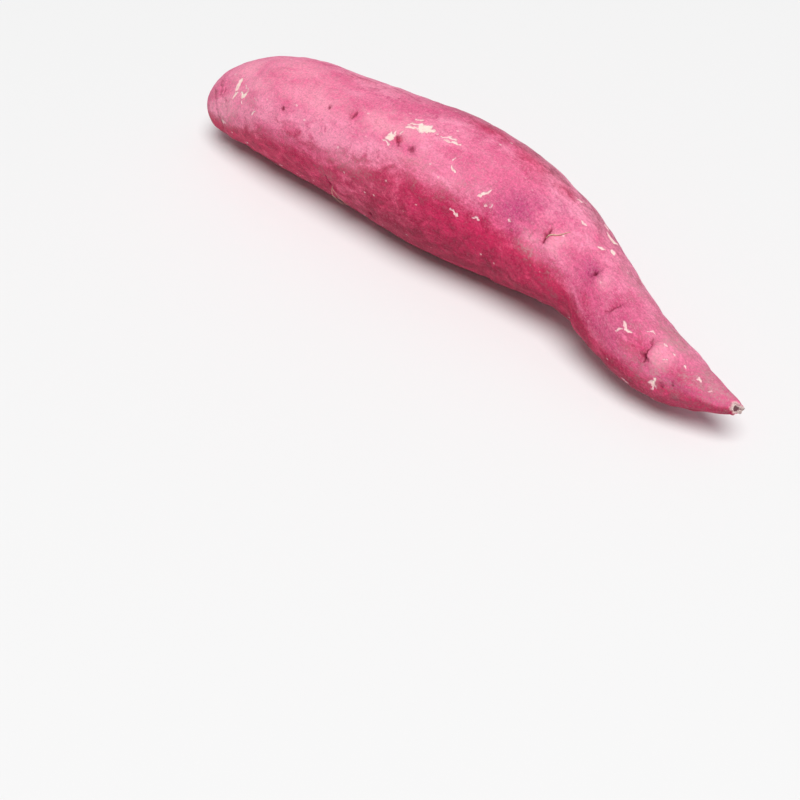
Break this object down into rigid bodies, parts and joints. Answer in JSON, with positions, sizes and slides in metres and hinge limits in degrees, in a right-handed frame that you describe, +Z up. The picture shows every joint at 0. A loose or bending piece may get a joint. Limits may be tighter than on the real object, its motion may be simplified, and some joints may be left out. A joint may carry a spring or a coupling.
{
  "type": "sweet potato",
  "caption": "Whole raw sweet potato with red-purple skin: a long storage root, blunt at the crown, thick in the middle, drawn out to a thin tip.",
  "frame": {"origin": "middle of the root's outline seen from above, on the plane it rests on", "axes": "+X along the root from the crown to the thin tip, +Y to the side the middle bows towards, +Z up"},
  "size_m": [0.212, 0.0436, 0.0414],
  "materials": {
    "skin": "matt, finely fibrous thin skin with a dusty bloom"
  },
  "bodies": {
    "root": {"sweet_potato": "skin"}
  },
  "joints": []
}
